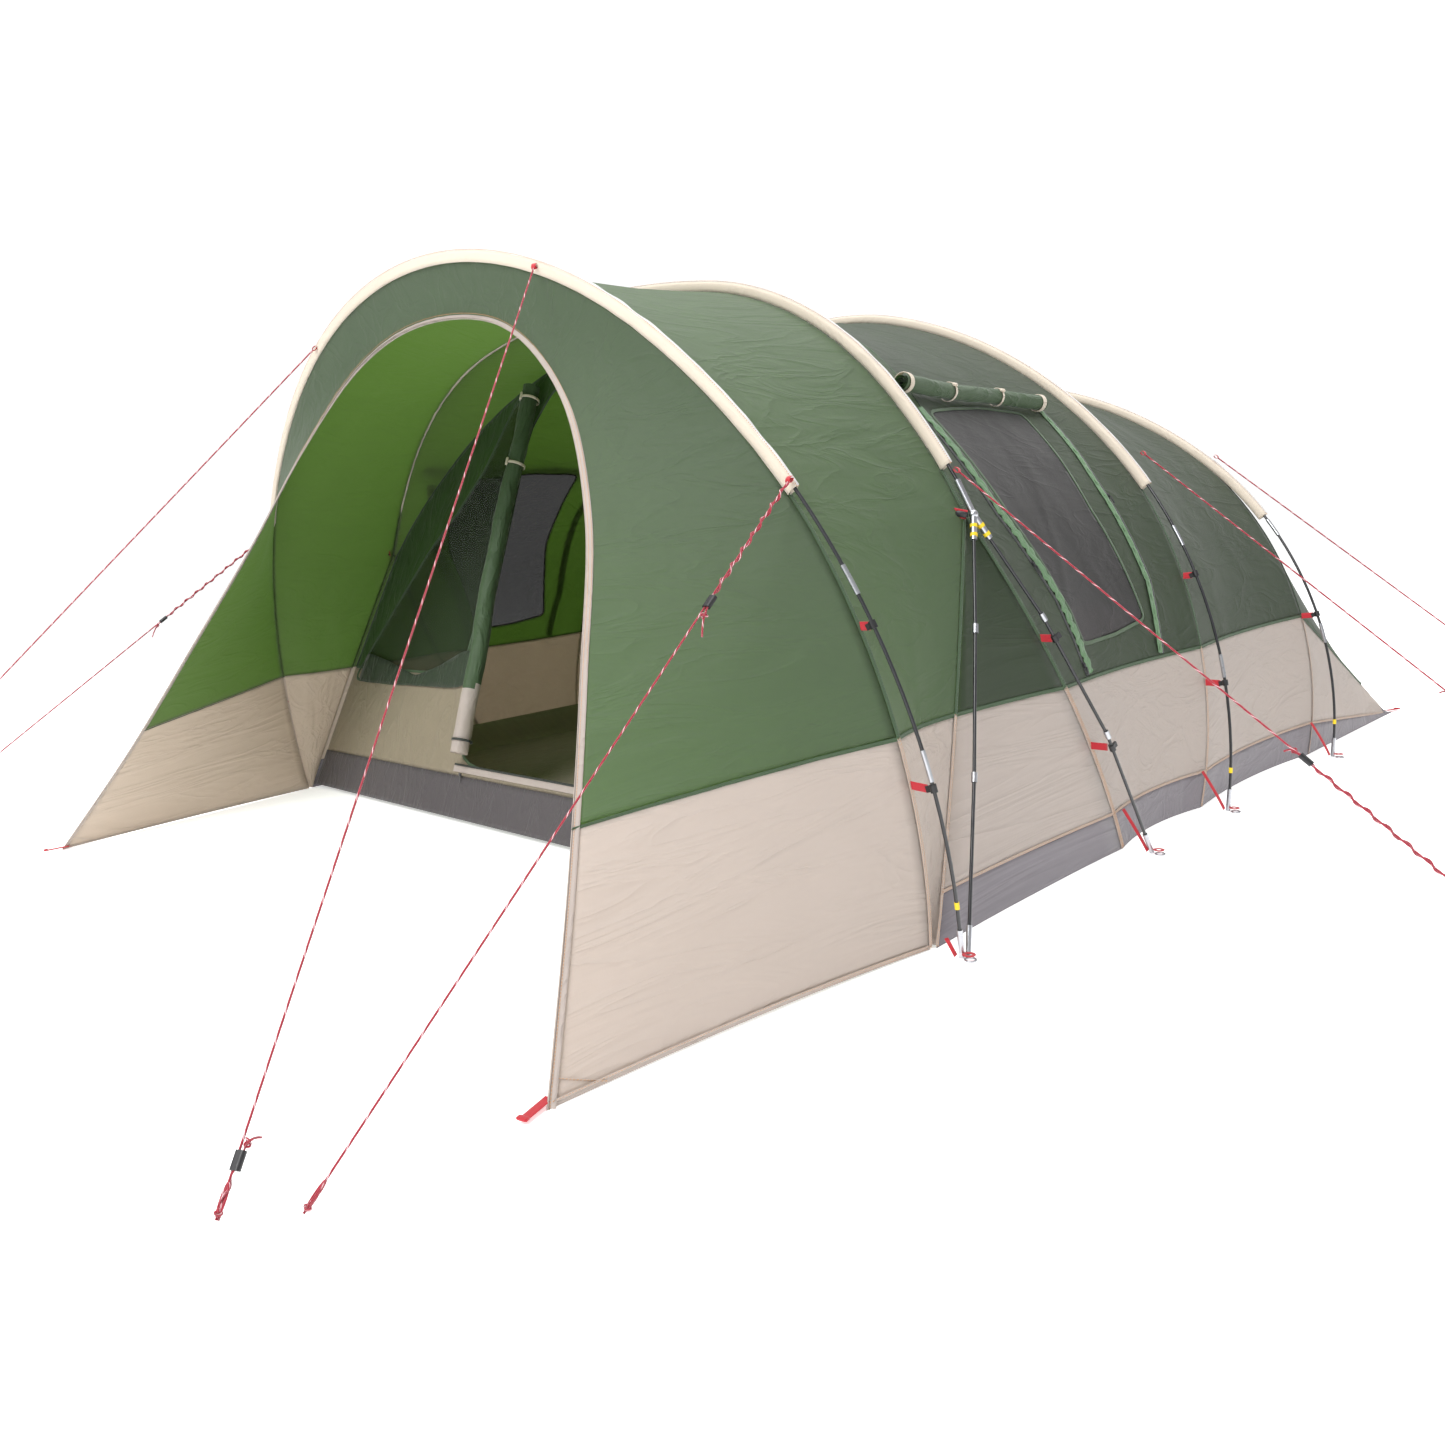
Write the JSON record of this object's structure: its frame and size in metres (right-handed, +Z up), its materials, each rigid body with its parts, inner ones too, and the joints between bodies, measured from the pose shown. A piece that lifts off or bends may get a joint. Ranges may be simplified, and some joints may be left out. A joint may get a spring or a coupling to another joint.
{
  "type": "tent",
  "caption": "Family tunnel tent on bent pole hoops, with a leaning open porch, rolled door, clear side windows and taut guy lines with sliding runners.",
  "frame": {"origin": "on the ground under the middle of the tent and its hem, without its guy lines", "axes": "+X to the right seen from the door, -Y towards the door, +Z up"},
  "size_m": [5.6034, 5.724, 2.0188],
  "materials": {
    "pole_rod": "smooth wrapped glass fibre rod",
    "steel": "drawn steel tube and wire",
    "black_plastic": "moulded nylon",
    "red_webbing": "woven webbing",
    "yellow_band": "tape",
    "green_cloth": "coated polyester, plain weave, slight sheen",
    "pale_cloth": "coated polyester, plain weave",
    "grey_cloth": "coated polyester, plain weave",
    "groundsheet": "laminated woven polyethylene",
    "sleeve_cloth": "plain woven polyester with stitched edges",
    "window_pane": "dark film behind fine mesh",
    "window_mesh": "fine knitted mesh",
    "rolled_cloth": "rolled coated polyester",
    "zip_metal": "cast slider",
    "guy_rope": "braided polyester, red with pale flecks"
  },
  "bodies": {
    "tent": {"front_hoop_rods": "pole_rod", "second_hoop_rods": "pole_rod", "second_hoop_legs": "pole_rod", "third_hoop_rods": "pole_rod", "rear_hoop_rods": "pole_rod", "pole_ferrules": "steel", "pole_junctions": "black_plastic", "foot_tubes": "steel", "foot_rings": "steel", "foot_straps": "red_webbing", "pole_clips": "black_plastic", "clip_tabs": "red_webbing", "pole_bands": "yellow_band", "wing_canopy": "green_cloth", "wing_skirts": "pale_cloth", "porch_canopy": "green_cloth", "side_gussets": "green_cloth", "window_canopy": "green_cloth", "window_panels": "window_pane", "window_flap_rolls": "rolled_cloth", "roll_ties": "sleeve_cloth", "rear_canopy": "green_cloth", "end_canopy": "green_cloth", "lower_skirts": "pale_cloth", "end_skirt": "pale_cloth", "mud_flaps": "grey_cloth", "groundsheet": "groundsheet", "front_sleeve": "sleeve_cloth", "second_sleeve": "sleeve_cloth", "third_sleeve": "sleeve_cloth", "rear_sleeve": "sleeve_cloth", "door_wall": "green_cloth", "door_wall_base": "pale_cloth", "door_roll": "rolled_cloth", "wall_window": "window_mesh", "opening_tape": "sleeve_cloth", "corner_straps": "red_webbing", "guy_loops": "red_webbing", "guy_line_1": "guy_rope", "guy_line_2": "guy_rope", "guy_line_3": "guy_rope", "guy_line_4": "guy_rope", "guy_line_5": "guy_rope", "guy_line_6": "guy_rope", "guy_line_7": "guy_rope", "guy_line_8": "guy_rope", "guy_line_9": "guy_rope", "guy_line_10": "guy_rope"},
    "runner_1": {"runner_1": "black_plastic"},
    "runner_2": {"runner_2": "black_plastic"},
    "runner_3": {"runner_3": "black_plastic"},
    "runner_4": {"runner_4": "black_plastic"},
    "runner_5": {"runner_5": "black_plastic"},
    "runner_6": {"runner_6": "black_plastic"},
    "runner_7": {"runner_7": "black_plastic"},
    "runner_8": {"runner_8": "black_plastic"},
    "runner_9": {"runner_9": "black_plastic"},
    "runner_10": {"runner_10": "black_plastic"},
    "door_zip_slider": {"door_zip_slider": "zip_metal"}
  },
  "joints": [
    {"name": "runner_1_slide", "type": "slide", "parent": "tent", "child": "runner_1", "axis": [-0.3244, 0.5907, 0.7388], "range_m": [0, 0.4]},
    {"name": "runner_2_slide", "type": "slide", "parent": "tent", "child": "runner_2", "axis": [-0.0429, 0.7715, 0.6348], "range_m": [-0.06, 0.25]},
    {"name": "runner_3_slide", "type": "slide", "parent": "tent", "child": "runner_3", "axis": [0.4349, 0.615, 0.6578], "range_m": [0, 0.4]},
    {"name": "runner_4_slide", "type": "slide", "parent": "tent", "child": "runner_4", "axis": [0.1479, 0.8113, 0.5655], "range_m": [-0.06, 0.25]},
    {"name": "runner_5_slide", "type": "slide", "parent": "tent", "child": "runner_5", "axis": [-0.7419, -0.1111, 0.6613], "range_m": [-0.15, 0.3]},
    {"name": "runner_6_slide", "type": "slide", "parent": "tent", "child": "runner_6", "axis": [-0.7603, 0.0158, 0.6494], "range_m": [-0.15, 0.3]},
    {"name": "runner_7_slide", "type": "slide", "parent": "tent", "child": "runner_7", "axis": [-0.7531, -0.0753, 0.6536], "range_m": [-0.15, 0.3]},
    {"name": "runner_8_slide", "type": "slide", "parent": "tent", "child": "runner_8", "axis": [0.6851, -0.1207, 0.7183], "range_m": [-0.15, 0.3]},
    {"name": "runner_9_slide", "type": "slide", "parent": "tent", "child": "runner_9", "axis": [0.7099, 0.0172, 0.7041], "range_m": [-0.15, 0.3]},
    {"name": "runner_10_slide", "type": "slide", "parent": "tent", "child": "runner_10", "axis": [0.7411, -0.0769, 0.667], "range_m": [-0.15, 0.3]},
    {"name": "door_zip_slide", "type": "slide", "parent": "tent", "child": "door_zip_slider", "axis": [1, 0, 0], "range_m": [0, 1.1]}
  ]
}
